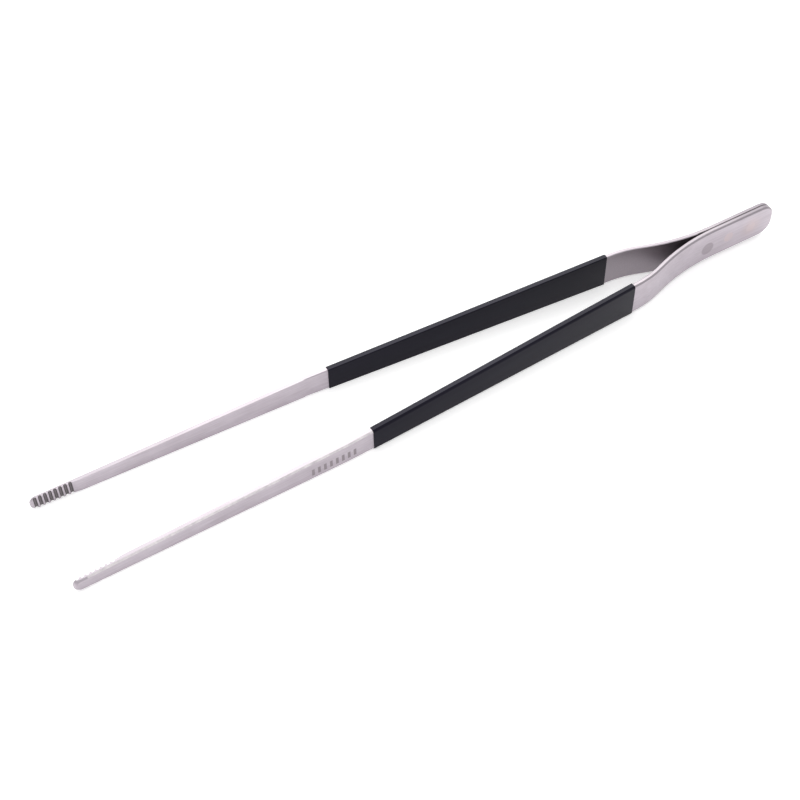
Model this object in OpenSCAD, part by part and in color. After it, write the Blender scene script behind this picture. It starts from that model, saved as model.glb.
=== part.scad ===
// Long grill tweezer tongs: two spring-steel strips spot-welded at the head,
// each with an S-bend, a black grip sleeve and a grooved tip.
// The head points along +X, the tips along -X and the widths of the strips
// stand upright. The tongs stand on the lower edges of the sleeves at Z = 0.

/* [Strips] */
// Length from the head end to the tips
length = 420; // [340:10:520]
// Thickness of each strip
strip_t = 2.6; // [1.8:0.1:3.2]
// Width of each strip at the head
head_w = 19.8; // [18:0.2:26]
// Width of each strip at the tip
tip_w = 7.2; // [5:0.2:10]
// Radius of the two corners at the head end
head_corner_r = 8; // [3:0.5:8.5]
// Bevel along the outer edges of each strip
edge_bevel = 0.8; // [0.3:0.1:1]

/* [Head and spring bend] */
// Length of the flat, welded part of each strip
tang_len = 40; // [32:1:50]
// Radius of the bend that parts the strips, at mid thickness
opening_r = 116; // [80:2:150]
// Angle between the welded part and the steepest part of the S-bend
opening_angle = 19; // [15:0.5:24]
// Straight length between the two bends
shank_len = 4.8; // [3:0.2:12]
// Radius of the bend back towards the handle, at mid thickness
shoulder_r = 59; // [40:1:80]

/* [Arms] */
// Angle between each handle and the centre plane
grip_angle = 3.6; // [2:0.1:5]
// Angle between each blade and the centre plane
blade_angle = 1.26; // [0.5:0.02:2]
// Bare steel between the shoulder and the sleeve
bare_len = 3.3; // [2:0.1:8]
// Bare steel between the sleeve and the bend of the blade
kink_gap = 13; // [6:0.5:24]

/* [Grip sleeves] */
// Length of each sleeve
grip_len = 161.7; // [120:0.1:200]
// Wall of each sleeve
grip_wall = 0.4; // [0.3:0.1:1.5]
// Gap between a sleeve and its strip
grip_fit = 0.03; // [0.01:0.01:0.1]
// Bevel along the long outer edges of each sleeve
grip_bevel = 0.5; // [0.2:0.1:0.6]

/* [Grooved tips] */
// Number of grooves across the inner face of each tip
groove_count = 8; // [4:1:12]
// Distance between neighbouring grooves
groove_pitch = 2.55; // [2.2:0.05:3.5]
// Radius of each half-round groove
groove_r = 0.85; // [0.5:0.05:1]
// Distance from the end of the tip to the first groove
first_groove = 2.8; // [2:0.1:5]
// Depth to which the grooved face is ground back
jaw_relief = 0.4; // [0.1:0.1:0.6]
// Length of the slope from the ground face to the plain blade
jaw_ramp = 3.5; // [2:0.5:6]

/* [Spot welds] */
// Diameter of each weld nugget
weld_d = 6; // [4:0.5:8]
// Depth of each nugget in one strip
weld_depth = 1.3; // [0.8:0.1:1.5]
// Gap between a nugget and its pocket
weld_fit = 0.01; // [0.01:0.01:0.05]
// Distance from the head end to the first weld
first_weld = 15; // [10:1:18]
// Distance between the two welds
weld_pitch = 15; // [10:1:16]

/* [Hidden] */
steel = "#c6bdc4";
sleeve_black = "#26262c";
weld_grey = "#a49ca2";
over = 1;              // how far a cut runs past the face it opens
bend_fn = 360;         // facets of a full turn of the long bends
small_fn = 48;

// Every strip is laid out along +X from the head end, with Y outwards from
// the welded faces and Z across its width, then turned to its place.
function heading(a) = [cos(a), sin(a)];
function outward(a) = [-sin(a), cos(a)];
function past_bend(p, r, a0, a1) = p + r * (outward(a0) - outward(a1)) * sign(a1 - a0);
tang_end = [tang_len, strip_t / 2];
opening_end = past_bend(tang_end, opening_r, 0, opening_angle);
shank_end = opening_end + shank_len * heading(opening_angle);
shoulder_end = past_bend(shank_end, shoulder_r, opening_angle, grip_angle);
grip_from = shoulder_end + bare_len * heading(grip_angle);
grip_to = grip_from + grip_len * heading(grip_angle);
kink = grip_to + kink_gap * heading(grip_angle);
blade_len = (length - kink.x) / cos(blade_angle);

// The widths taper evenly from the start of the sleeve to the round tip.
taper_from = grip_from.x;
tip_centre_x = length - tip_w / 2;
taper = (head_w - tip_w) / 2 / (tip_centre_x - taper_from);
taper_angle = atan(taper);
function half_width(x) = head_w / 2 - taper * max(0, x - taper_from);

// The lower edges of the sleeves lie level, so the whole part is tipped by
// the taper angle, and its box is centred on the origin.
sleeve_out = grip_fit + grip_wall;
grip_low = -head_w / 2 - sleeve_out;
low_corner_z = head_corner_r - head_w / 2;
function level(x, z) = [x * cos(taper_angle) + z * sin(taper_angle),
    z * cos(taper_angle) - x * sin(taper_angle)];
front_x = level(tip_centre_x, 0).x + tip_w / 2 * cos(taper_angle);
back_x = level(head_corner_r, low_corner_z).x - head_corner_r;
floor_z = level(taper_from, grip_low).y;

module seated()
    mirror([1, 0, 0])
        translate([-(front_x + back_x) / 2, 0, -floor_z])
            rotate([0, taper_angle, 0])
                children();

module left_side() seated() mirror([0, 1, 0]) children();
module right_side() seated() children();

// Section of a strip across its outer and inner faces, outer face at +t/2
module strip_section()
    polygon([
        [-strip_t / 2, -head_w / 2], [strip_t / 2 - edge_bevel, -head_w / 2],
        [strip_t / 2, edge_bevel - head_w / 2], [strip_t / 2, head_w / 2 - edge_bevel],
        [strip_t / 2 - edge_bevel, head_w / 2], [-strip_t / 2, head_w / 2]
    ]);

module straight_strip(len)
    rotate([90, 0, 90]) linear_extrude(len) strip_section();

// Bar that cuts the bevel off an upper outer edge running from p to q, and
// starts "before" ahead of p
module bevel_bar(p, q, bevel, before = over) {
    d = q - p;
    translate(p)
        rotate([0, 0, atan2(d.y, d.x)])
            rotate([0, -asin(d.z / norm(d)), 0])
                rotate([90, 0, 90])
                    translate([0, 0, -before]) linear_extrude(norm(d) + before + over)
                        bevel_corner(0, bevel);
}

// Section of what a bevel takes off a corner at [x, 0], with room to spare
module bevel_corner(x, bevel)
    polygon([[x - bevel - over, over], [x + over, over], [x + over, -bevel - over]]);

// What is cut from the upper edge of a strip is cut from its lower edge too
module both_edges() {
    children();
    mirror([0, 0, 1]) children();
}

// Places along the straight handle, measured from the end of the shoulder
function handle_half_width(d) = half_width(shoulder_end.x + d * cos(grip_angle));
handle_len = bare_len + grip_len + kink_gap;

// Bevels of a length of the handle whose surface stands "out" off the strip
module handle_bevels(from, to, out, bevel, before = over)
    both_edges()
        bevel_bar([from, strip_t / 2 + out, handle_half_width(from) + out],
            [to, strip_t / 2 + out, handle_half_width(to) + out], bevel, before);

// Flat, welded part of a strip with round corners, bevel and weld pockets
module tang()
    difference() {
        translate([0, strip_t, 0]) rotate([90, 0, 0]) linear_extrude(strip_t)
            tang_outline();
        translate([0, strip_t, 0]) both_edges() tang_bevel();
        for (x = weld_places()) translate([x, 0, 0]) weld_pocket();
    }

module tang_outline() {
    translate([head_corner_r, -head_w / 2]) square([tang_len - head_corner_r, head_w]);
    translate([0, low_corner_z]) square([head_corner_r, -2 * low_corner_z]);
    for (s = [-1, 1]) translate([head_corner_r, s * low_corner_z])
        circle(head_corner_r, $fn = bend_fn);
}

// Upper half of the bevel round the head: end, corner and long edge
module tang_bevel() {
    translate([0, 0, low_corner_z]) linear_extrude(-2 * low_corner_z)
        mirror([1, 0]) bevel_corner(0, edge_bevel);
    translate([head_corner_r, 0, -low_corner_z]) rotate([-90, 180, 0])
        rotate_extrude(angle = 90, $fn = bend_fn)
            bevel_corner(head_corner_r, edge_bevel);
    bevel_bar([head_corner_r, 0, head_w / 2], [tang_len, 0, head_w / 2], edge_bevel, 0);
}

function weld_places() = [for (i = [0 : 1]) first_weld + i * weld_pitch];

module weld_pocket()
    rotate([-90, 0, 0])
        translate([0, 0, -over]) cylinder(h = weld_depth + over, d = weld_d, $fn = small_fn);

// The bend that parts the strips and the straight shank after it. Both start
// from the plane where they join, so that they meet exactly.
module spring_bend()
    translate([opening_end.x, opening_end.y, 0]) rotate([0, 0, opening_angle]) {
        straight_strip(shank_len);
        translate([0, opening_r, 0]) mirror([1, 0, 0]) rotate([0, 0, -90])
            rotate_extrude(angle = opening_angle, $fn = bend_fn)
                translate([opening_r, 0]) mirror([1, 0]) strip_section();
    }

// Plan of the handle and blade, with the handle along X from the shoulder
module arm_plan() {
    turn = blade_angle - grip_angle;
    mitre = strip_t / 2 / cos(turn / 2);
    bend = [handle_len, 0];
    tip = bend + (blade_len + over) * heading(turn);
    polygon([
        [0, -strip_t / 2], bend - mitre * outward(turn / 2), tip - strip_t / 2 * outward(turn),
        tip + strip_t / 2 * outward(turn), bend + mitre * outward(turn / 2), [0, strip_t / 2]
    ]);
}

// Side outline of the tapered part of a strip, with its round tip
module taper_outline() {
    r = tip_w / 2 * cos(taper_angle);
    meet = [tip_centre_x + r * sin(taper_angle), r * cos(taper_angle)];
    polygon([
        [0, -head_w / 2], [taper_from, -head_w / 2], [meet.x, -meet.y],
        [meet.x, meet.y], [taper_from, head_w / 2], [0, head_w / 2]
    ]);
    translate([tip_centre_x, 0]) circle(r, $fn = bend_fn);
}

// Turns what is drawn along the handle to its place in the strip's frame
module at_shoulder()
    translate([shoulder_end.x, shoulder_end.y, 0]) rotate([0, 0, grip_angle]) children();

// The shoulder bend turns a section, given with its axis at x = 0, back from
// the start of the handle.
module shoulder_bend()
    translate([0, -shoulder_r, 0]) rotate([0, 0, 90])
        rotate_extrude(angle = opening_angle - grip_angle, $fn = bend_fn)
            children();

// Everything from the shoulder bend to the grooved tip
module arm()
    difference() {
        intersection() {
            at_shoulder() {
                translate([0, 0, -head_w]) linear_extrude(2 * head_w) arm_plan();
                shoulder_bend()
                    translate([shoulder_r - strip_t / 2, -head_w]) square([strip_t, 2 * head_w]);
            }
            across_strip() taper_outline();
        }
        at_shoulder() {
            both_edges() shoulder_bend()
                translate([0, head_w / 2]) bevel_corner(shoulder_r + strip_t / 2, edge_bevel);
            handle_bevels(0, bare_len, 0, edge_bevel, 0);
            handle_bevels(bare_len, handle_len, 0, edge_bevel);
            translate([handle_len, 0, 0]) rotate([0, 0, blade_angle - grip_angle]) blade_cuts();
        }
    }

// Carries a side outline right through the strip
module across_strip()
    translate([0, length, 0]) rotate([90, 0, 0]) linear_extrude(2 * length) children();

// Bevels and jaw of the blade, with the blade along X from the kink
module blade_cuts() {
    both_edges()
        bevel_bar([0, strip_t / 2, half_width(kink.x)],
            [blade_len, strip_t / 2, half_width(length)], edge_bevel);
    translate([blade_len, 0, 0]) jaw_cuts();
}

// The ground-back face and its grooves, measured from the end of the blade
module jaw_cuts() {
    face = jaw_relief - strip_t / 2;
    flat = first_groove + (groove_count - 0.5) * groove_pitch;
    // the slope runs on past the plain face by its own length
    clear = [-flat - 2 * jaw_ramp, face - 2 * jaw_relief];
    translate([0, 0, -head_w]) linear_extrude(2 * head_w)
        polygon([
            clear, [-flat, face], [2 * over, face],
            [2 * over, face - strip_t], [clear.x, face - strip_t]
        ]);
    for (i = [0 : groove_count - 1])
        translate([-first_groove - i * groove_pitch, face, -head_w])
            cylinder(h = 2 * head_w, r = groove_r, $fn = small_fn);
}

// A straight, tapered box along the handle that stands "out" off the strip
module sleeve_block(out, ends) {
    side = strip_t / 2 + out;
    from = grip_from.x - head_w;
    to = grip_to.x + head_w;
    low = head_w / 2 + out - taper * (to - taper_from);
    high = head_w / 2 + out - taper * (from - taper_from);
    intersection() {
        at_shoulder() translate([bare_len - ends, -side, -head_w])
            cube([grip_len + 2 * ends, 2 * side, 2 * head_w]);
        across_strip() polygon([[from, -high], [to, -low], [to, low], [from, high]]);
    }
}

module grip()
    difference() {
        sleeve_block(sleeve_out, 0);
        sleeve_block(grip_fit, over);
        at_shoulder()
            for (s = [0, 1]) mirror([0, s, 0])
                handle_bevels(bare_len, bare_len + grip_len, sleeve_out, grip_bevel);
    }

module left_tang() color(steel) left_side() tang();
module right_tang() color(steel) right_side() tang();
module left_spring_bend() color(steel) left_side() spring_bend();
module right_spring_bend() color(steel) right_side() spring_bend();
module left_arm() color(steel) left_side() arm();
module right_arm() color(steel) right_side() arm();
module left_grip() color(sleeve_black) left_side() grip();
module right_grip() color(sleeve_black) right_side() grip();

module spot_welds()
    color(weld_grey) seated()
        for (x = weld_places())
            translate([x, weld_depth - weld_fit, 0]) rotate([90, 0, 0])
                cylinder(h = 2 * (weld_depth - weld_fit), d = weld_d - 2 * weld_fit, $fn = small_fn);

left_tang();
right_tang();
left_spring_bend();
right_spring_bend();
left_arm();
right_arm();
left_grip();
right_grip();
spot_welds();
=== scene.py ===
"""Long spring-steel tweezer tongs with black grip sleeves, modelled over their CAD frame."""

import math

import bmesh
import bpy
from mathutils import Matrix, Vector


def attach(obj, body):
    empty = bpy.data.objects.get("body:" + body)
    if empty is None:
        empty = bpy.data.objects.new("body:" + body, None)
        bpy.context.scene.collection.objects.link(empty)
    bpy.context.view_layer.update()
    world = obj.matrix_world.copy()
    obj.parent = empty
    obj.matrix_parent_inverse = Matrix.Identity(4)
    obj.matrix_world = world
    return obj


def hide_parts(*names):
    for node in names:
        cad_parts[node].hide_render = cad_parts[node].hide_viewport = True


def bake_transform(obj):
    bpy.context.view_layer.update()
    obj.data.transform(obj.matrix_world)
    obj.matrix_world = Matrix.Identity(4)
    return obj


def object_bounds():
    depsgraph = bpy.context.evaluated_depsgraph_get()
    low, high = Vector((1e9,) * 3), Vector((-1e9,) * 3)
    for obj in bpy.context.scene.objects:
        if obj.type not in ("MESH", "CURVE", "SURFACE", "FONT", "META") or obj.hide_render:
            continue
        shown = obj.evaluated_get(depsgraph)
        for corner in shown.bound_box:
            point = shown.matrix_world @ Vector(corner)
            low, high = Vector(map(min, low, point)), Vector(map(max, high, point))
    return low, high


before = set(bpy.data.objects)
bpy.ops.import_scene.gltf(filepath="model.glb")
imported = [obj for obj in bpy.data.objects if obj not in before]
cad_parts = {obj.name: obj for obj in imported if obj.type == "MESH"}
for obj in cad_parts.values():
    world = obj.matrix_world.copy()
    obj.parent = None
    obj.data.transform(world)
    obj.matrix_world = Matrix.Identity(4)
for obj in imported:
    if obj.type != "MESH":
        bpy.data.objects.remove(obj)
CAD_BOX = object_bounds()

bl_info = {
    "name": "Spring tweezer tongs",
    "version": (1, 0, 0),
    "blender": (4, 5, 0),
    "location": "View3D > Sidebar > Tongs",
    "description": "Builds a pair of long steel tweezer tongs with grip sleeves, and a studio stage",
    "category": "Add Mesh",
}

MM = 0.001
# The three extra material slots of a strip, after the brushed one, hold painted shade on the head
# bevel and bend insides, painted shade in the grooves and seam, and a painted highlight on the blade
# bevel
PAINTED_SHADE_SLOT, RECESS_SHADE_SLOT, PAINTED_HIGHLIGHT_SLOT = 1, 2, 3  # material slots of a strip, after the brushed one


def linear(hex_colour):
    """An sRGB hex colour as linear red, green and blue."""
    channels = [int(hex_colour[i : i + 2], 16) / 255 for i in (1, 3, 5)]
    return [c / 12.92 if c <= 0.04045 else ((c + 0.055) / 1.055) ** 2.4 for c in channels]


def length_of(name, description, mm):
    """A length that a user would change, in metres, from its size in millimetres."""
    return bpy.props.FloatProperty(
        name=name, description=description, default=mm * MM, min=0, unit="LENGTH", precision=5
    )


def angle_of(name, description, degrees):
    return bpy.props.FloatProperty(
        name=name, description=description, default=math.radians(degrees), unit="ROTATION"
    )


def colour_of(name, description, hex_colour):
    return bpy.props.FloatVectorProperty(
        name=name, description=description, default=linear(hex_colour),
        size=3, min=0, max=1, subtype="COLOR",
    )


class StripSizes(bpy.types.PropertyGroup):
    """Sizes of one steel strip, from the welded head to the tip."""

    length: length_of("Length", "From the head end to the tip", 420)
    thickness: length_of("Thickness", "Thickness of the strip", 2.6)
    head_width: length_of("Head width", "Width from the head to the sleeve", 19.8)
    tip_width: length_of("Tip width", "Width of the round tip", 7.2)
    head_corner: length_of("Head corner", "Radius of the corners of the head", 8)
    outer_bevel: length_of("Outer bevel", "Bevel round the outer face", 0.8)
    inner_bevel: length_of("Inner bevel", "Deburred edge round the inner face", 0.35)
    tang_length: length_of("Tang length", "Flat part that is welded to the other strip", 40)
    opening_radius: length_of("Opening radius", "Radius of the bend that parts the strips", 116)
    opening_angle: angle_of("Opening angle", "Slope between the two bends", 19)
    shank_length: length_of("Shank length", "Straight part between the two bends", 4.8)
    shoulder_radius: length_of("Shoulder radius", "Radius of the bend before the sleeve", 59)
    grip_angle: angle_of("Grip angle", "Slope of the handle", 3.6)
    blade_angle: angle_of("Blade angle", "Slope of the blade", 1.26)
    bare_length: length_of("Bare length", "Bare steel between the shoulder and the sleeve", 3.3)
    kink_gap: length_of("Kink gap", "From the sleeve to the kink at the blade", 13)


class JawSizes(bpy.types.PropertyGroup):
    """Sizes of the grooved gripping face at each tip."""

    groove_count: bpy.props.IntProperty(
        name="Grooves", description="Number of grooves across each tip", default=8, min=1
    )
    groove_pitch: length_of("Groove pitch", "Distance between grooves", 2.55)
    groove_radius: length_of("Groove radius", "Radius of each half-round groove", 0.85)
    first_groove: length_of("First groove", "From the tip to the first groove", 2.8)
    relief: length_of("Relief", "Depth to which the face is ground back", 0.4)
    ramp: length_of("Ramp", "Slope from the ground face to the plain blade", 3.5)


class SleeveSizes(bpy.types.PropertyGroup):
    """Sizes of the moulded sleeve on each handle."""

    length: length_of("Length", "Length of the sleeve", 161.7)
    stand_off: length_of("Stand-off", "How far the outside stands off the steel", 0.43)
    wall: length_of("Wall", "Thickness of the sleeve", 0.4)
    outer_round: length_of("Outer rounding", "Rounding of the edges that face outwards", 1.4)
    inner_round: length_of("Inner rounding", "Rounding of the edges that face the other arm", 0.5)
    rim_round: length_of("Rim rounding", "Rounding of the sleeve's two rims", 0.12)


class WeldSizes(bpy.types.PropertyGroup):
    """Sizes of the spot welds that hold the strips together at the head."""

    diameter: length_of("Diameter", "Diameter of each weld mark", 6)
    first: length_of("First weld", "From the head end to the first weld", 15)
    pitch: length_of("Pitch", "Distance between the two welds", 15)
    proud: length_of("Height", "How far a weld mark stands off the strip", 0.02)


class TongsColours(bpy.types.PropertyGroup):
    """Colours of the tongs and the stage."""

    steel: colour_of("Steel", "Brushed stainless steel", "#b8b0b8")
    steel_dull: colour_of("Dull steel", "Darker patches of the brushing", "#a79ea6")
    # Painted shade: darker steel for the bevel along the head and the insides of the spring bends
    ground: colour_of("Shaded edge", "Darker bevel and insides of the bends", "#8c868a")
    # Painted highlight: near-white steel for the bevel along the blades
    polished: colour_of("Highlit edge", "Brighter bevel along the blade", "#fbf6f6")
    # Painted shade: dark steel for the tip grooves and the seam between the strips at the head
    milled: colour_of("Shadowed steel", "Dark grooves and seam", "#575153")
    etching: colour_of("Etching", "Oxide left by the etched marks", "#8e868b")
    tint: colour_of("Heat tint", "Straw tint round the spot welds", "#b9a7a6")
    sleeve: colour_of("Sleeve", "Satin black plastic", "#17161d")
    # Painted light: a lighter plastic for the top and bottom narrow sides of the sleeves, lit more
    # than their faces
    rubbed: colour_of("Top_lit edge", "Plastic dulled on the narrow sides", "#3f3e44")
    gloss: colour_of("Gloss", "Tint of the light on the plastic", "#d8d2ff")
    floor: colour_of("Floor", "Pale floor", "#f7f7f7")


GROUPS = {
    "tongs_strip": StripSizes,
    "tongs_jaw": JawSizes,
    "tongs_sleeve": SleeveSizes,
    "tongs_weld": WeldSizes,
    "tongs_colours": TongsColours,
}


# Where things are. Every strip is laid out along +X from the head end, with Y outwards
# from the welded faces, and is turned round and tipped to its place at the end.


def heading(angle):
    return Vector((math.cos(angle), math.sin(angle)))


def outward(angle):
    return Vector((-math.sin(angle), math.cos(angle)))


def past_bend(start, radius, angle, to_angle):
    turn = math.copysign(radius, to_angle - angle)
    return start + turn * (outward(angle) - outward(to_angle))


def strip_corners(strip, sleeve):
    """The points of the line at mid thickness where the strip's shape changes."""
    tang_end = Vector((strip.tang_length, strip.thickness / 2))
    opening_end = past_bend(tang_end, strip.opening_radius, 0, strip.opening_angle)
    shank_end = opening_end + strip.shank_length * heading(strip.opening_angle)
    shoulder_end = past_bend(
        shank_end, strip.shoulder_radius, strip.opening_angle, strip.grip_angle
    )
    along = heading(strip.grip_angle)
    sleeve_start = shoulder_end + strip.bare_length * along
    kink = sleeve_start + (sleeve.length + strip.kink_gap) * along
    return tang_end, shank_end, sleeve_start, kink


def taper_slope(strip, sleeve):
    """How fast half the width falls between the start of the sleeve and the tip."""
    taper_from = strip_corners(strip, sleeve)[2].x
    fall = (strip.head_width - strip.tip_width) / 2
    return fall / (strip.length - strip.tip_width / 2 - taper_from)


def half_width(x, strip, sleeve):
    taper_from = strip_corners(strip, sleeve)[2].x
    return strip.head_width / 2 - taper_slope(strip, sleeve) * max(0, x - taper_from)


def jaw_depth(from_tip, jaw):
    """How far the gripping face is cut back, at a distance from the tip."""
    flat = jaw.first_groove + (jaw.groove_count - 0.5) * jaw.groove_pitch
    if from_tip >= flat:
        return jaw.relief * max(0, 1 - (from_tip - flat) / jaw.ramp)
    nearest = round((from_tip - jaw.first_groove) / jaw.groove_pitch)
    nearest = min(max(nearest, 0), jaw.groove_count - 1)
    off = abs(from_tip - jaw.first_groove - nearest * jaw.groove_pitch)
    return jaw.relief + math.sqrt(max(0, jaw.groove_radius**2 - off**2))


def tip_distances(strip, jaw):
    """Distances from the tip at which the blade changes, the furthest first."""
    flat = jaw.first_groove + (jaw.groove_count - 0.5) * jaw.groove_pitch
    # The end is square to the slanting blade, so it stops short enough for its inner
    # corner to stay within the length.
    end = 0.05 * MM
    found = [flat + jaw.ramp, flat, end]
    for groove in range(jaw.groove_count):
        centre = jaw.first_groove + groove * jaw.groove_pitch
        for degrees in range(0, 181, 20):
            found.append(centre + jaw.groove_radius * math.cos(math.radians(degrees)))
    for degrees in range(16, 91, 12):
        found.append(strip.tip_width / 2 * (1 - math.cos(math.radians(degrees))))
    found.sort(reverse=True)
    apart = 0.04 * MM
    return [d for i, d in enumerate(found) if i == 0 or found[i - 1] - d > apart]


def bend_stops(start, radius, angle, to_angle, steps):
    for i in range(1, steps + 1):
        at = angle + (to_angle - angle) * i / steps
        yield past_bend(start, radius, angle, at), at


def strip_stops(strip, jaw, sleeve):
    """The strip's sections from the head to the tip: centre, slope, half width, thickness."""
    tang_end, shank_end, sleeve_start, kink = strip_corners(strip, sleeve)
    opening = list(bend_stops(tang_end, strip.opening_radius, 0, strip.opening_angle, 16))
    shoulder = list(bend_stops(
        shank_end, strip.shoulder_radius, strip.opening_angle, strip.grip_angle, 16
    ))
    plain = [(tang_end, 0), *opening, (shank_end, strip.opening_angle), *shoulder]
    plain.append((sleeve_start, strip.grip_angle))
    plain.append((kink, (strip.grip_angle + strip.blade_angle) / 2))

    stops = []
    corner = strip.head_corner
    for degrees in range(0, 91, 15):
        turn = math.radians(degrees)
        centre = Vector((corner * (1 - math.cos(turn)), strip.thickness / 2))
        half = strip.head_width / 2 - corner * (1 - math.sin(turn))
        stops.append((centre, 0, half, strip.thickness))
    for centre, angle in plain:
        stops.append((centre, angle, half_width(centre.x, strip, sleeve), strip.thickness))

    blade_length = (strip.length - kink.x) / math.cos(strip.blade_angle)
    radius = strip.tip_width / 2
    blunt = 0.25 * MM
    for from_tip in tip_distances(strip, jaw):
        centre = kink + (blade_length - from_tip) * heading(strip.blade_angle)
        half = half_width(centre.x, strip, sleeve)
        if from_tip < radius:
            half = min(half, math.sqrt(radius**2 - (radius - from_tip) ** 2))
        thickness = strip.thickness - jaw_depth(from_tip, jaw)
        stops.append((centre, strip.blade_angle, max(half, blunt), thickness))
    return stops


def tipped(x, z, slope):
    """A point of the strip's side view after the whole part is tipped onto its sleeves."""
    tilt = math.atan(slope)
    return (
        x * math.cos(tilt) + z * math.sin(tilt),
        z * math.cos(tilt) - x * math.sin(tilt),
    )


def seat(obj, strip, sleeve):
    """Moves a piece from the strip's layout to its place in the frame, where both sleeves
    lie level and the box is centred."""
    slope = taper_slope(strip, sleeve)
    low_edge = -strip.head_width / 2 - sleeve.stand_off
    floor = tipped(strip_corners(strip, sleeve)[2].x, low_edge, slope)[1]
    corner_z = strip.head_corner - strip.head_width / 2
    back = tipped(strip.head_corner, corner_z, slope)[0] - strip.head_corner
    middle = CAD_BOX[1].x - CAD_BOX[0].x
    obj.rotation_euler = (0, -math.atan(slope), 0)
    obj.location = (back + middle / 2, 0, -floor)
    apply_place(obj)


# Small helpers for modelling


def alone(obj):
    """Leaves obj as the only selected and active object."""
    bpy.ops.object.select_all(action="DESELECT")
    obj.select_set(True)
    bpy.context.view_layer.objects.active = obj


def apply_place(obj):
    alone(obj)
    bpy.ops.object.transform_apply(location=True, rotation=True, scale=True)


def edit(obj):
    alone(obj)
    bpy.ops.object.mode_set(mode="EDIT")
    bpy.ops.mesh.select_mode(type="FACE")


def done():
    bpy.ops.object.mode_set(mode="OBJECT")


def pick(obj, kind, wanted):
    """Selects the faces or edges of the mesh in edit mode that pass a test, and only them."""
    bpy.ops.mesh.select_mode(type="FACE" if kind == "faces" else "EDGE")
    bpy.ops.mesh.select_all(action="DESELECT")
    mesh = bmesh.from_edit_mesh(obj.data)
    found = [e for e in getattr(mesh, kind) if wanted(e)]
    if not found:
        raise RuntimeError(f"{obj.name} has no {kind} to work on")
    for e in found:
        e.select_set(True)
    bmesh.update_edit_mesh(obj.data)


def smooth(obj, degrees):
    alone(obj)
    bpy.ops.object.shade_smooth_by_angle(angle=math.radians(degrees))


def mirrored(obj, name):
    """A copy of obj on the other side of the middle plane, with its own mesh."""
    alone(obj)
    bpy.ops.object.duplicate(linked=False)
    copy = bpy.context.object
    copy.name = name
    copy.data.name = name
    copy.scale.y = -1
    apply_place(copy)
    edit(copy)
    bpy.ops.mesh.select_all(action="SELECT")
    bpy.ops.mesh.normals_make_consistent(inside=False)
    done()
    return copy


def keep_layout(obj):
    """Stores each point's place along, off and across the straight layout, so that a
    pattern stays on the steel when it bends."""
    layout = obj.data.attributes.new("layout", "FLOAT_VECTOR", "POINT")
    for vertex, value in zip(obj.data.vertices, layout.data):
        value.vector = (-vertex.co.x, vertex.co.y, vertex.co.z)


# Materials


def add(material, kind, settings=None, links=None):
    """Adds a node, sets its properties and sockets, and links sockets to other nodes' outputs."""
    node = material.node_tree.nodes.new(kind)
    for name, value in (settings or {}).items():
        if isinstance(name, str) and hasattr(node, name):
            setattr(node, name, value)
        else:
            node.inputs[name].default_value = value
    for name, output in (links or {}).items():
        material.node_tree.links.new(output, node.inputs[name])
    return node


def new_material(name):
    material = bpy.data.materials.new(name)
    material.use_nodes = True
    material.node_tree.nodes.clear()
    return material


def finish_material(material, settings, links):
    shader = add(material, "ShaderNodeBsdfPrincipled", settings, links)
    add(material, "ShaderNodeOutputMaterial", links={"Surface": shader.outputs["BSDF"]})
    return material


def mix_colour(material, factor, first, second):
    """Mixes two colours. Each is a linear colour or another node's output."""
    node = material.node_tree.nodes.new("ShaderNodeMix")
    node.data_type = "RGBA"
    for socket, value in ((0, factor), (6, first), (7, second)):
        if isinstance(value, bpy.types.NodeSocket):
            material.node_tree.links.new(value, node.inputs[socket])
        elif socket == 0:
            node.inputs[0].default_value = value
        else:
            node.inputs[socket].default_value = (*value, 1)
    return node.outputs[2]


def calculate(material, operation, first, second, clamp=False):
    """One sum on two values. Each is a number or another node's output."""
    node = material.node_tree.nodes.new("ShaderNodeMath")
    node.operation = operation
    node.use_clamp = clamp
    for i, value in enumerate((first, second)):
        if isinstance(value, bpy.types.NodeSocket):
            material.node_tree.links.new(value, node.inputs[i])
        else:
            node.inputs[i].default_value = value
    return node.outputs[0]


def inside(material, value, low, high, soft):
    """1 where value is between low and high, with soft edges."""
    rise = calculate(material, "DIVIDE", calculate(material, "SUBTRACT", value, low), soft, True)
    fall = calculate(material, "DIVIDE", calculate(material, "SUBTRACT", high, value), soft, True)
    return calculate(material, "MULTIPLY", rise, fall)


def etched_marks(material, along, off, across, strip, sleeve):
    """Where the outer face is etched: a row of plain bars on the blade, and a round spot
    at the head."""
    kink = strip_corners(strip, sleeve)[3]
    soft, far = 0.15 * MM, 1.0
    bar_count, bar_pitch, bar_half = 8, 3.3 * MM, 0.85 * MM
    bars_low, bars_high = -3.4 * MM, 1.2 * MM
    bars_from = kink.x - 2.2 * MM
    bars_to = bars_from + (bar_count - 1) * bar_pitch
    step = calculate(material, "SUBTRACT", along, bars_from)
    step = calculate(material, "PINGPONG", step, bar_pitch / 2)
    bars = inside(material, step, -far, bar_half, soft)
    row = inside(material, along, bars_from - bar_half - soft, bars_to + bar_half + soft, soft)
    tall = inside(material, across, bars_low, bars_high, soft)
    outside = inside(material, off, kink.y + 0.5 * MM, far, soft)
    bars = calculate(material, "MULTIPLY", bars, calculate(material, "MULTIPLY", row, tall))
    bars = calculate(material, "MULTIPLY", bars, outside)

    spot_at, spot_radius, spot_strength = Vector((44, -1.5)) * MM, 4.2 * MM, 0.6
    dx = calculate(material, "SUBTRACT", along, spot_at.x)
    dz = calculate(material, "SUBTRACT", across, spot_at.y)
    squares = calculate(
        material, "ADD", calculate(material, "POWER", dx, 2), calculate(material, "POWER", dz, 2)
    )
    radius = calculate(material, "SQRT", squares, 0)
    spot = inside(material, radius, -far, spot_radius, 3 * soft)
    outside = inside(material, off, 0.8 * strip.thickness, far, soft)
    spot = calculate(material, "MULTIPLY", spot, outside)
    # The spot is fainter than the bars.
    spot = calculate(material, "MULTIPLY", spot, spot_strength)
    return calculate(material, "MAXIMUM", bars, spot)


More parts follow.
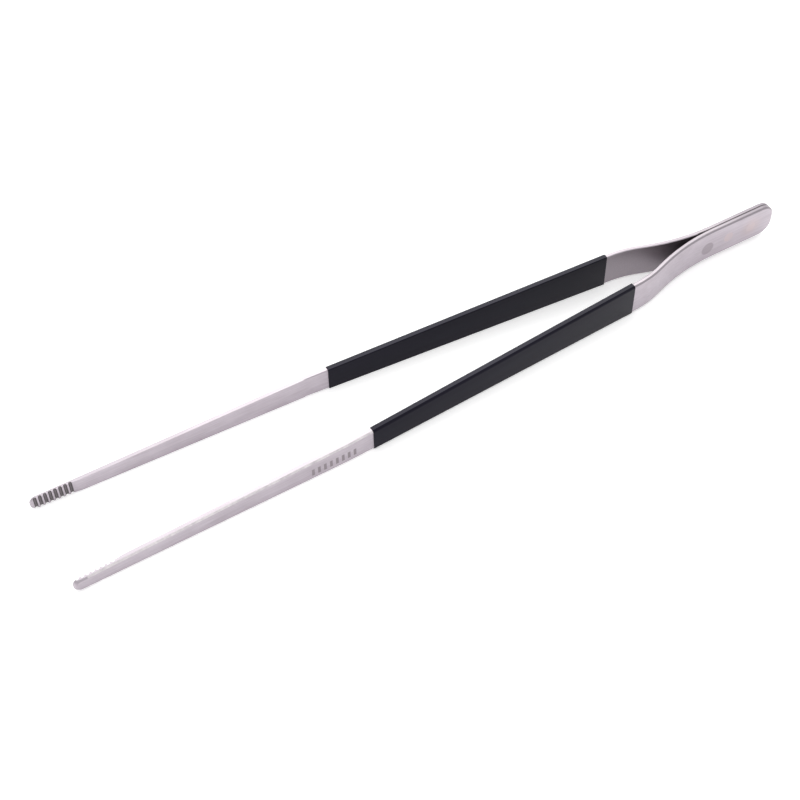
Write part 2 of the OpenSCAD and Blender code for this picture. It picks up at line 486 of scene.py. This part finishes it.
def brushed_steel(name, colours, strip, sleeve, etched):
    """Stainless steel strip, brushed along its length with a fine belt: satin, with fine
    long streaks, faint cloudy patches, and a straw tint round the first spot weld."""
    material = new_material(name)
    layout = add(material, "ShaderNodeAttribute", {"attribute_name": "layout"})
    parts = add(material, "ShaderNodeSeparateXYZ", links={0: layout.outputs["Vector"]})
    along, off, across = parts.outputs

    # Belt scratches are about 0.05 mm apart, drawn at 0.7 mm so that they show.
    streak_length, streak_gap = 26 * MM, 0.7 * MM
    stretched = add(
        material, "ShaderNodeMapping",
        {"Scale": (1 / streak_length, 1 / streak_gap, 1 / streak_gap)},
        {"Vector": layout.outputs["Vector"]},
    )
    streaks = add(
        material, "ShaderNodeTexNoise",
        {"Scale": 1.0, "Detail": 3.0, "Roughness": 0.6}, {"Vector": stretched.outputs[0]},
    ).outputs[0]
    patch_size = 16 * MM
    clouds = add(
        material, "ShaderNodeTexNoise",
        {"Scale": 1 / patch_size, "Detail": 2.0}, {"Vector": layout.outputs["Vector"]},
    ).outputs[0]
    cloud_share = 0.35
    cloudy = calculate(
        material, "ADD", calculate(material, "MULTIPLY", clouds, cloud_share),
        calculate(material, "MULTIPLY", streaks, 1 - cloud_share),
    )
    # Noise keeps near its middle, so this part of it is spread over both colours.
    darkest, spread, never = 0.36, 0.28, 2
    cloudy = inside(material, cloudy, darkest, never, spread)
    colour = mix_colour(material, cloudy, colours.steel_dull, colours.steel)

    tint_at, tint_reach, tint_strength = 15 * MM, 8 * MM, 0.55
    tint_dx = calculate(material, "SUBTRACT", along, tint_at)
    tint_square = calculate(
        material, "ADD", calculate(material, "POWER", tint_dx, 2),
        calculate(material, "POWER", across, 2),
    )
    tinted = calculate(material, "DIVIDE", calculate(material, "SQRT", tint_square, 0), tint_reach)
    tinted = calculate(material, "SUBTRACT", 1, tinted, True)
    tinted = calculate(material, "MULTIPLY", tinted, tint_strength)
    colour = mix_colour(material, tinted, colour, colours.tint)

    rough = calculate(material, "ADD", calculate(material, "MULTIPLY", streaks, 0.16), 0.26)
    if etched:
        marks = etched_marks(material, along, off, across, strip, sleeve)
        colour = mix_colour(material, marks, colour, colours.etching)
        rough = calculate(material, "ADD", rough, calculate(material, "MULTIPLY", marks, 0.2))
    bump = add(
        material, "ShaderNodeBump", {"Strength": 0.12, "Distance": 0.02 * MM}, {"Height": streaks}
    )
    return finish_material(
        material, {"Metallic": 1.0},
        {"Base Color": colour, "Roughness": rough, "Normal": bump.outputs[0]},
    )


def painted_light_steel(name, first, second, mark, rough):
    """The same steel with fine marks in two shades, the size of a tool's grit or teeth, in place of
    the long streaks. Each use paints shade or a highlight into the steel's colour."""
    material = new_material(name)
    layout = add(material, "ShaderNodeAttribute", {"attribute_name": "layout"})
    marks = add(
        material, "ShaderNodeTexNoise",
        {"Scale": 1 / mark, "Detail": 2.0}, {"Vector": layout.outputs["Vector"]},
    ).outputs[0]
    colour = mix_colour(material, marks, first, second)
    uneven = calculate(material, "MULTIPLY", marks, 0.2)
    roughness = calculate(material, "ADD", uneven, rough)
    return finish_material(
        material, {"Metallic": 1.0}, {"Base Color": colour, "Roughness": roughness}
    )


def painted_light_steels(colours):
    """Three steels whose colours are painted shade and a painted highlight, to set faces off from
    the brushed ones. Their real marks are about 0.1 mm apart and are drawn larger, so that they
    show."""
    dull = colours.steel_dull
    return (
        # Painted shade: a dark line along the head and spring bend, and the insides of the bends
        # darkened where shade falls between the strips
        painted_light_steel("Stainless steel, ground", colours.ground, dull, 0.5 * MM, 0.3),
        # Painted shade in the grooves of the tips and in the thin seam between the strips at the
        # head
        painted_light_steel(
            "Stainless steel, milled", colours.milled, colours.ground, 0.3 * MM, 0.4
        ),
        # Painted highlight: a near-white line along the blades
        painted_light_steel("Stainless steel, polished", colours.polished, colours.steel, 4 * MM, 0.1),
    )


def sleeve_plastic(name, colours, base):
    """PVC moulded as a sleeve: satin black, with a fine leathery grain from the mould and
    faint long waves where it is drawn tight. Its shine is turned down below plain PVC."""
    material = new_material(name)
    place = add(material, "ShaderNodeTexCoord").outputs["Object"]
    # The grain is about 0.15 mm, drawn at 0.4 mm so that it shows.
    grain = add(
        material, "ShaderNodeTexNoise",
        {"Scale": 1 / (0.4 * MM), "Detail": 2.0, "Roughness": 0.6}, {"Vector": place},
    ).outputs[0]
    drawn = add(
        material, "ShaderNodeMapping", {"Scale": (1 / (60 * MM), 1 / (6 * MM), 1 / (6 * MM))},
        {"Vector": place},
    )
    waves = add(
        material, "ShaderNodeTexNoise", {"Scale": 1.0, "Detail": 1.0}, {"Vector": drawn.outputs[0]}
    ).outputs[0]
    darker = [c * 0.6 for c in base]
    colour = mix_colour(material, waves, darker, base)
    rough = calculate(material, "ADD", calculate(material, "MULTIPLY", grain, 0.14), 0.3)
    height = calculate(material, "ADD", grain, calculate(material, "MULTIPLY", waves, 2.5))
    bump = add(
        material, "ShaderNodeBump", {"Strength": 0.25, "Distance": 0.02 * MM}, {"Height": height}
    )
    return finish_material(
        material, {"IOR": 1.5, "Specular IOR Level": 0.11, "Specular Tint": (*colours.gloss, 1)},
        {"Base Color": colour, "Roughness": rough, "Normal": bump.outputs[0]},
    )


def weld_steel(colours):
    """Fused steel of a resistance spot weld: a flat, slightly dull spot with a straw tint."""
    material = new_material("Stainless steel, spot weld")
    place = add(material, "ShaderNodeTexCoord").outputs["Object"]
    mottle = add(
        material, "ShaderNodeTexNoise", {"Scale": 1 / (1.5 * MM), "Detail": 3.0}, {"Vector": place}
    ).outputs[0]
    colour = mix_colour(material, mottle, colours.tint, colours.steel)
    rough = calculate(material, "ADD", calculate(material, "MULTIPLY", mottle, 0.2), 0.3)
    return finish_material(material, {"Metallic": 1.0}, {"Base Color": colour, "Roughness": rough})


def stage_floor(colours):
    """Pale matt paper sweep with a faint tooth. It glows a little, to keep its shadows pale."""
    material = new_material("Paper, matt white")
    place = add(material, "ShaderNodeTexCoord").outputs["Object"]
    tooth = add(
        material, "ShaderNodeTexNoise", {"Scale": 1 / (2 * MM), "Detail": 2.0}, {"Vector": place}
    ).outputs[0]
    bump = add(
        material, "ShaderNodeBump", {"Strength": 0.05, "Distance": 0.05 * MM}, {"Height": tooth}
    )
    return finish_material(
        material,
        {
            "Base Color": (*colours.floor, 1), "Roughness": 0.9,
            "Emission Color": (1, 1, 1, 1), "Emission Strength": 0.25,
        },
        {"Normal": bump.outputs[0]},
    )


# Pieces


def steel_strip(strip, jaw, sleeve):
    """One strip in its layout: a section extruded from stop to stop, then bevelled."""
    stops = strip_stops(strip, jaw, sleeve)
    start, _, half, thickness = stops[0]
    bpy.ops.object.select_all(action="DESELECT")
    bpy.ops.mesh.primitive_plane_add(
        size=1, location=(-start.x, start.y, 0), rotation=(0, math.pi / 2, 0)
    )
    obj = bpy.context.object
    apply_place(obj)
    edit(obj)
    bpy.ops.mesh.select_all(action="SELECT")
    bpy.ops.transform.resize(value=(1, thickness, 2 * half), center_override=(0, start.y, 0))
    for before, after in zip(stops, stops[1:]):
        extrude_to(before, after, strip.thickness)
    bpy.ops.mesh.select_all(action="SELECT")
    bpy.ops.mesh.normals_make_consistent(inside=False)

    facing = math.cos(strip.opening_angle) - 0.05
    jaw_from = jaw.first_groove + jaw.groove_count * jaw.groove_pitch + jaw.ramp
    plain_to = -(strip.length - jaw_from)

    def outer_edge(e):
        return sum(f.normal.y > facing for f in e.link_faces) == 1

    def inner_edge(e):
        if sum(f.normal.y < -facing for f in e.link_faces) != 1:
            return False
        return all(v.co.x > plain_to for v in e.verts)

    pick(obj, "edges", outer_edge)
    bpy.ops.mesh.bevel(
        offset=strip.outer_bevel, segments=1, affect="EDGES", loop_slide=False
    )
    pick(obj, "edges", inner_edge)
    bpy.ops.mesh.bevel(offset=strip.inner_bevel, segments=1, affect="EDGES", loop_slide=False)
    done()
    return obj


def extrude_to(before, after, full):
    """Extrudes the selected section of a strip to its next stop. A thinner section keeps its
    outer face in line."""
    (p, angle, half, thickness), (q, to_angle, to_half, to_thickness) = before, after
    bpy.ops.mesh.extrude_region_move(
        TRANSFORM_OT_translate={"value": (p.x - q.x, q.y - p.y, 0)}
    )
    centre = (-q.x, q.y, 0)
    if to_angle != angle:
        bpy.ops.transform.rotate(
            value=to_angle - angle, orient_axis="Z", center_override=centre
        )
    if to_half != half:
        bpy.ops.transform.resize(value=(1, 1, to_half / half), center_override=centre)
    if to_thickness != thickness:
        face = q + full / 2 * outward(to_angle)
        bpy.ops.transform.resize(
            value=(1, to_thickness / thickness, 1), center_override=(-face.x, face.y, 0)
        )


class TONGS_OT_strips(bpy.types.Operator):
    """Model the two steel strips, from the welded head to the grooved tips"""

    bl_idname = "tongs.strips"
    bl_label = "Steel strips"

    def execute(self, context):
        scene = context.scene
        strip, jaw, sleeve = scene.tongs_strip, scene.tongs_jaw, scene.tongs_sleeve
        colours = scene.tongs_colours
        right = steel_strip(strip, jaw, sleeve)
        right.name = "right_strip"
        right.data.name = "right_strip"
        keep_layout(right)
        smooth(right, 25)
        left = mirrored(right, "left_strip")
        painted_steels = painted_light_steels(colours)
        for obj, side in ((left, "left"), (right, "right")):
            etched = side == "left"
            name = "Stainless steel, brushed and etched" if etched else "Stainless steel, brushed"
            obj.data.materials.append(brushed_steel(name, colours, strip, sleeve, etched))
            for steel in painted_steels:
                obj.data.materials.append(steel)
            self.paint_light_and_shade(obj, strip, jaw, sleeve)
            seat(obj, strip, sleeve)
            self.bend(obj, side)
            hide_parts(f"{side}_tang", f"{side}_spring_bend", f"{side}_arm")
        return {"FINISHED"}

    def paint_light_and_shade(self, obj, strip, jaw, sleeve):
        """Paints shade on the head bevel, the insides of the bends, the grooves and the seam, and a
        highlight on the blade bevel, by giving these faces the extra steels.
        """
        _, _, sleeve_start, kink = strip_corners(strip, sleeve)
        land = jaw.relief - strip.thickness / 2
        groove_lip = 0.05 * MM
        seam_end = strip.tang_length + 10 * MM
        jaw_start = strip.length - 30 * MM

        def outwards(v):
            """A vector of either strip as if it were the right one, head to tip along +X."""
            side = math.copysign(1, obj.data.vertices[0].co.y)
            return Vector((-v.x, side * v.y))

        def sloping(f, towards):
            return 0.5 < towards * outwards(f.normal).y < 0.85

        def along(f):
            return -f.calc_center_median().x

        def head_bevel(f):
            return sloping(f, 1) and along(f) < sleeve_start.x

        def blade_bevel(f):
            past_middle = sleeve_start.x + sleeve.length / 2
            on_blade = past_middle < along(f) < strip.length - strip.tip_width
            return sloping(f, 1) and on_blade

        def inside_bend(f):
            inner = outwards(f.normal).y < -0.9
            return inner and strip.tang_length < along(f) < sleeve_start.x

        def seam(f):
            return sloping(f, -1) and along(f) < seam_end

        def groove(f):
            across = (outwards(f.calc_center_median()) - kink).dot(outward(strip.blade_angle))
            inner = outwards(f.normal).y < -0.1 and abs(f.normal.z) < 0.5
            return along(f) > jaw_start and inner and across > land + groove_lip

        edit(obj)
        painted_faces = (
            (PAINTED_SHADE_SLOT, head_bevel), (PAINTED_SHADE_SLOT, inside_bend), (RECESS_SHADE_SLOT, seam), (RECESS_SHADE_SLOT, groove),
            (PAINTED_HIGHLIGHT_SLOT, blade_bevel),
        )
        for slot, wanted in painted_faces:
            pick(obj, "faces", wanted)
            obj.active_material_index = slot
            bpy.ops.object.material_slot_assign()
        done()

    def bend(self, obj, side):
        """Bakes the strip's place into its mesh."""
        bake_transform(obj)


class TONGS_OT_sleeves(bpy.types.Operator):
    """Model the two black grip sleeves as thin open tubes with rounded edges"""

    bl_idname = "tongs.sleeves"
    bl_label = "Grip sleeves"

    def execute(self, context):
        scene = context.scene
        strip, sleeve = scene.tongs_strip, scene.tongs_sleeve
        right = self.tube(strip, sleeve)
        right.name = "right_sleeve"
        right.data.name = "right_sleeve"
        smooth(right, 40)
        left = mirrored(right, "left_sleeve")
        colours = scene.tongs_colours
        plastic = sleeve_plastic("PVC, moulded satin black", colours, colours.sleeve)
        # The second plastic is a lighter copy, painted light for the narrow top and bottom sides
        rubbed = sleeve_plastic("PVC, rubbed dull", colours, colours.rubbed)
        for obj, side in ((left, "left"), (right, "right")):
            obj.data.materials.append(plastic)
            obj.data.materials.append(rubbed)
            edit(obj)
            pick(obj, "faces", lambda f: abs(f.normal.z) > 0.95)
            obj.active_material_index = 1
            bpy.ops.object.material_slot_assign()
            done()
            seat(obj, strip, sleeve)
            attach(obj, f"{side}_side")
            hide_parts(f"{side}_grip")
        return {"FINISHED"}

    def tube(self, strip, sleeve):
        start = strip_corners(strip, sleeve)[2]
        end = start + sleeve.length * heading(strip.grip_angle)
        middle = (start + end) / 2
        deep = strip.thickness + 2 * sleeve.stand_off
        # The ends are square to the slanting handle, so one corner of each reaches where the
        # taper is this much narrower.
        skew = taper_slope(strip, sleeve) * deep / 2 * math.sin(strip.grip_angle)
        out = sleeve.stand_off - skew
        near, far = (2 * (half_width(p.x, strip, sleeve) + out) for p in (start, end))
        bpy.ops.object.select_all(action="DESELECT")
        bpy.ops.mesh.primitive_cube_add(size=1, location=(0, 0, 0))
        obj = bpy.context.object
        obj.scale = (sleeve.length, deep, near)
        apply_place(obj)
        edit(obj)
        pick(obj, "faces", lambda f: f.normal.x < -0.9)
        bpy.ops.transform.resize(value=(1, 1, far / near), center_override=(-middle.x, 0, 0))

        def long_edge(e, side):
            a, b = (v.co for v in e.verts)
            return abs(a.x - b.x) > sleeve.length / 2 and a.y * side > 0

        for side, rounding in ((1, sleeve.outer_round), (-1, sleeve.inner_round)):
            pick(obj, "edges", lambda e: long_edge(e, side))
            bpy.ops.mesh.bevel(offset=rounding, segments=6, affect="EDGES")

        def rim(e):
            return sum(abs(f.normal.x) > 0.9 for f in e.link_faces) == 1

        pick(obj, "edges", rim)
        bpy.ops.mesh.bevel(offset=sleeve.rim_round, segments=2, affect="EDGES", loop_slide=False)
        pick(obj, "faces", lambda f: abs(f.normal.x) > 0.95 and len(f.verts) > 4)
        bpy.ops.mesh.inset(thickness=sleeve.wall - sleeve.rim_round, depth=0)
        bpy.ops.mesh.delete(type="FACE")
        pick(obj, "edges", lambda e: len(e.link_faces) == 1)
        bpy.ops.mesh.bridge_edge_loops()
        bpy.ops.mesh.select_all(action="SELECT")
        bpy.ops.mesh.normals_make_consistent(inside=False)
        done()
        obj.rotation_euler = (0, 0, -strip.grip_angle)
        obj.location = (-middle.x, middle.y, 0)
        apply_place(obj)
        return obj


class TONGS_OT_welds(bpy.types.Operator):
    """Model the spot welds that run through both strips at the head"""

    bl_idname = "tongs.welds"
    bl_label = "Spot welds"

    def execute(self, context):
        scene = context.scene
        strip, sleeve, weld = scene.tongs_strip, scene.tongs_sleeve, scene.tongs_weld
        depth = 2 * (strip.thickness + weld.proud)
        bpy.ops.object.select_all(action="DESELECT")
        bpy.ops.mesh.primitive_cylinder_add(
            vertices=48, radius=weld.diameter / 2, depth=depth,
            location=(-weld.first, 0, 0), rotation=(math.pi / 2, 0, 0),
        )
        obj = bpy.context.object
        obj.name = "spot_weld_nuggets"
        obj.data.name = "spot_weld_nuggets"
        apply_place(obj)
        edit(obj)
        pick(obj, "faces", lambda f: abs(f.normal.y) > 0.9)
        rim = 0.12 * weld.diameter
        bpy.ops.mesh.inset(thickness=rim, depth=-weld.proud / 2)
        bpy.ops.mesh.select_all(action="SELECT")
        bpy.ops.mesh.duplicate_move(TRANSFORM_OT_translate={"value": (-weld.pitch, 0, 0)})
        bpy.ops.mesh.select_all(action="SELECT")
        bpy.ops.mesh.normals_make_consistent(inside=False)
        done()
        smooth(obj, 30)
        obj.data.materials.append(weld_steel(scene.tongs_colours))
        seat(obj, strip, sleeve)
        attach(obj, "head")
        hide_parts("spot_welds")
        return {"FINISHED"}


class TONGS_OT_stage(bpy.types.Operator):
    """Set the floor, the soft light and the camera"""

    bl_idname = "tongs.stage"
    bl_label = "Stage"

    def execute(self, context):
        self.floor(context.scene)
        self.lights(context.scene)
        self.camera(context.scene)
        context.scene.view_settings.view_transform = "Standard"
        return {"FINISHED"}

    def floor(self, scene):
        low, high = CAD_BOX
        side = 20 * (high.x - low.x)
        bpy.ops.object.select_all(action="DESELECT")
        bpy.ops.mesh.primitive_plane_add(size=side, location=(0, 0, low.z))
        obj = bpy.context.object
        obj.name = "stage_floor"
        apply_place(obj)
        obj.data.materials.append(stage_floor(scene.tongs_colours))

    def lights(self, scene):
        world = bpy.data.worlds.new("Pale studio")
        scene.world = world
        world.use_nodes = True
        world.node_tree.nodes["Background"].inputs["Color"].default_value = (1, 1, 1, 1)
        world.node_tree.nodes["Background"].inputs["Strength"].default_value = 0.95
        for name, place, size, power, tone in (
            ("Overhead softbox", (0.0, 0.1, 0.9), 1.2, 4.0, "#ffffff"),
            ("Back softbox", (0.35, 0.7, 0.85), 0.8, 3.0, "#fafff4"),
        ):
            bpy.ops.object.light_add(type="AREA", location=place)
            light = bpy.context.object
            light.name = name
            light.data.size = size
            light.data.energy = power
            light.data.color = linear(tone)
            light.rotation_euler = (-Vector(place)).to_track_quat("-Z", "Y").to_euler()

    def camera(self, scene):
        azimuth, elevation = math.radians(-30.4), math.radians(50.04)
        distance = 0.7522
        target = Vector((-0.0299, -0.0106, 0.010))
        back = Vector((
            math.sin(azimuth) * math.cos(elevation),
            -math.cos(azimuth) * math.cos(elevation),
            math.sin(elevation),
        ))
        bpy.ops.object.camera_add(location=target + distance * back)
        camera = bpy.context.object
        camera.name = "Camera"
        camera.rotation_euler = (-back).to_track_quat("-Z", "Y").to_euler()
        camera.data.sensor_width = 36
        camera.data.lens = 68.8
        camera.data.clip_start = 0.01
        scene.camera = camera


class TONGS_PT_panel(bpy.types.Panel):
    """Lists the tongs' sizes, colours and pieces"""

    bl_idname = "TONGS_PT_panel"
    bl_label = "Tweezer tongs"
    bl_space_type = "VIEW_3D"
    bl_region_type = "UI"
    bl_category = "Tongs"

    def draw(self, context):
        for group, kind in GROUPS.items():
            box = self.layout.box()
            for name in kind.__annotations__:
                box.prop(getattr(context.scene, group), name)
        for operator in OPERATORS:
            self.layout.operator(operator.bl_idname)


OPERATORS = (TONGS_OT_strips, TONGS_OT_sleeves, TONGS_OT_welds, TONGS_OT_stage)


def register():
    for made in (*GROUPS.values(), *OPERATORS, TONGS_PT_panel):
        bpy.utils.register_class(made)
    for name, group in GROUPS.items():
        setattr(bpy.types.Scene, name, bpy.props.PointerProperty(type=group))


def unregister():
    for name in GROUPS:
        delattr(bpy.types.Scene, name)
    for made in reversed((*GROUPS.values(), *OPERATORS, TONGS_PT_panel)):
        bpy.utils.unregister_class(made)


def main():
    register()
    bpy.ops.tongs.strips()
    bpy.ops.tongs.sleeves()
    bpy.ops.tongs.welds()
    bpy.ops.tongs.stage()


if __name__ == "__main__":
    main()
